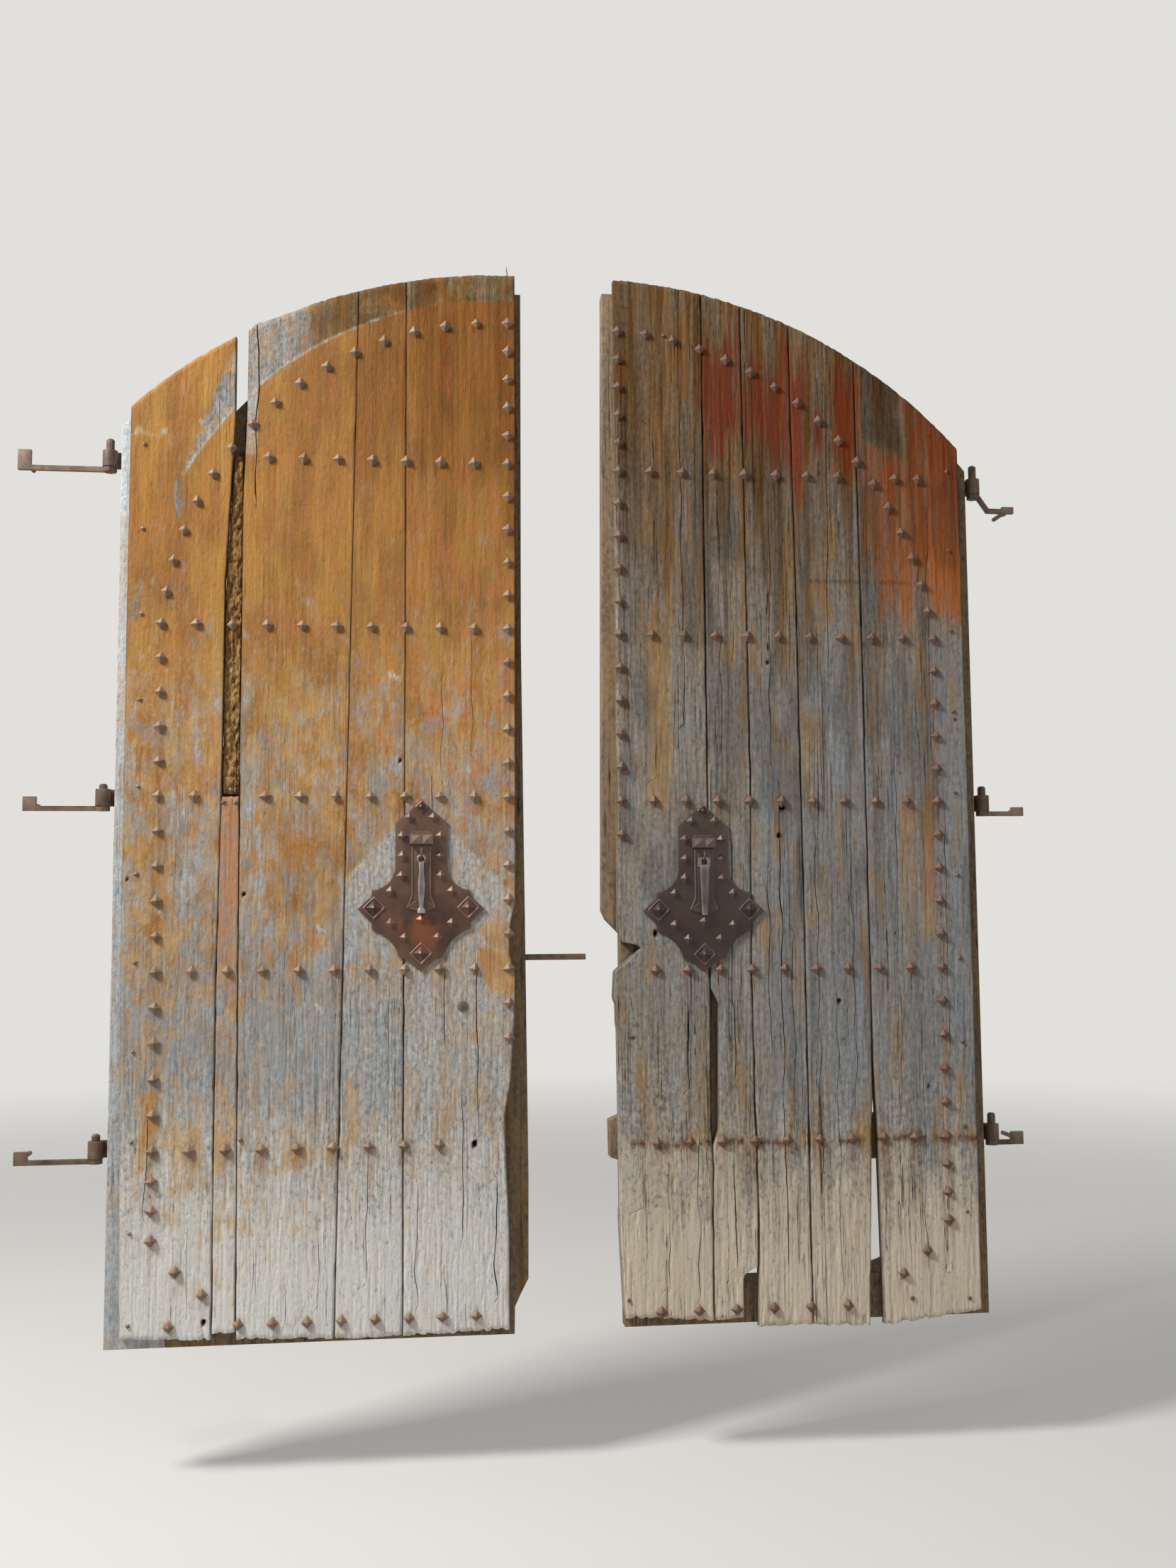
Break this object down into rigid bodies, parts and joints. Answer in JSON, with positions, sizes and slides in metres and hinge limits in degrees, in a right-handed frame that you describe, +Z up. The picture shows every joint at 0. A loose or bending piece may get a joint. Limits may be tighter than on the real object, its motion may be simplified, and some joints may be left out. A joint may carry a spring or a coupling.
{
  "type": "arched wooden door",
  "caption": "Weathered round-headed plank door in two leaves, nailed to rear framing, with forged knockers, a sliding bolt and pintle hinges.",
  "frame": {"origin": "centre of the left leaf's lowest wall dowel, in the wall's face", "axes": "+X to the right as seen from the front, +Y into the wall, +Z up; the planks face -Y"},
  "size_m": [2.7882, 0.1945, 2.9199],
  "materials": {
    "left_planks": "worn ochre paint on weathered wood",
    "right_planks": "weathered grey-brown wood with paint traces",
    "framing": "old sawn timber",
    "stud_iron": "rusty wrought iron",
    "knocker_iron": "dark forged iron with rust",
    "hinge_iron": "dark weathered iron"
  },
  "bodies": {
    "wall_pintles": {"left_pintle_1": "hinge_iron", "left_pintle_2": "hinge_iron", "left_pintle_3": "hinge_iron", "right_pintle_1": "hinge_iron", "right_pintle_2": "hinge_iron", "right_pintle_3": "hinge_iron"},
    "left_leaf": {"left_plank_1": "left_planks", "left_plank_2": "left_planks", "left_plank_3": "left_planks", "left_plank_4": "left_planks", "left_filler_strip": "left_planks", "left_rotten_strip": "left_planks", "left_hinge_stile": "framing", "left_meeting_stile": "framing", "left_arch_rib": "framing", "left_corner_brace": "framing", "left_bottom_rail": "framing", "left_rail_1": "framing", "left_rail_2": "framing", "left_rail_3": "framing", "left_rail_4": "framing", "left_rail_5": "framing", "left_studs": "stud_iron", "left_small_nails": "stud_iron", "left_knocker_plate": "knocker_iron", "left_plate_studs": "knocker_iron", "left_knocker_guide": "knocker_iron", "left_knocker_bracket": "knocker_iron", "left_strap_1": "hinge_iron", "left_strap_2": "hinge_iron", "left_strap_3": "hinge_iron", "left_bolt_staples": "hinge_iron"},
    "left_hammer": {"left_hammer": "knocker_iron"},
    "right_leaf": {"right_plank_1": "right_planks", "right_plank_2": "right_planks", "right_plank_3": "right_planks", "right_plank_4": "right_planks", "right_plank_5": "right_planks", "right_hinge_stile": "framing", "right_meeting_stile": "framing", "right_arch_rib": "framing", "right_corner_brace": "framing", "right_bottom_rail": "framing", "right_rail_1": "framing", "right_rail_2": "framing", "right_rail_3": "framing", "right_rail_4": "framing", "right_rail_5": "framing", "right_studs": "stud_iron", "right_small_nails": "stud_iron", "right_knocker_plate": "knocker_iron", "right_plate_studs": "knocker_iron", "right_knocker_guide": "knocker_iron", "right_knocker_bracket": "knocker_iron", "right_strap_1": "hinge_iron", "right_strap_2": "hinge_iron", "right_strap_3": "hinge_iron", "right_bolt_keeper": "hinge_iron"},
    "right_hammer": {"right_hammer": "knocker_iron"},
    "left_bolt": {"left_bolt": "hinge_iron"}
  },
  "joints": [
    {"name": "left_leaf_swing", "type": "hinge", "parent": "wall_pintles", "child": "left_leaf", "pos_m": [0.188, -0.04208, 0.0183], "axis": [0, 0, -1], "range_deg": [0, 100]},
    {"name": "right_leaf_swing", "type": "hinge", "parent": "wall_pintles", "child": "right_leaf", "pos_m": [2.61616, -0.04208, 0.0083], "axis": [0, 0, 1], "range_deg": [0, 100]},
    {"name": "left_hammer_swing", "type": "hinge", "parent": "left_leaf", "child": "left_hammer", "pos_m": [1.02808, -0.119, 0.7863], "axis": [-1, 0, 0], "range_deg": [0, 70]},
    {"name": "right_hammer_swing", "type": "hinge", "parent": "right_leaf", "child": "right_hammer", "pos_m": [1.79408, -0.119, 0.7763], "axis": [-1, 0, 0], "range_deg": [0, 70]},
    {"name": "bolt_slide", "type": "slide", "parent": "left_leaf", "child": "left_bolt", "axis": [-1, 0, 0], "range_m": [0, 0.16]}
  ]
}
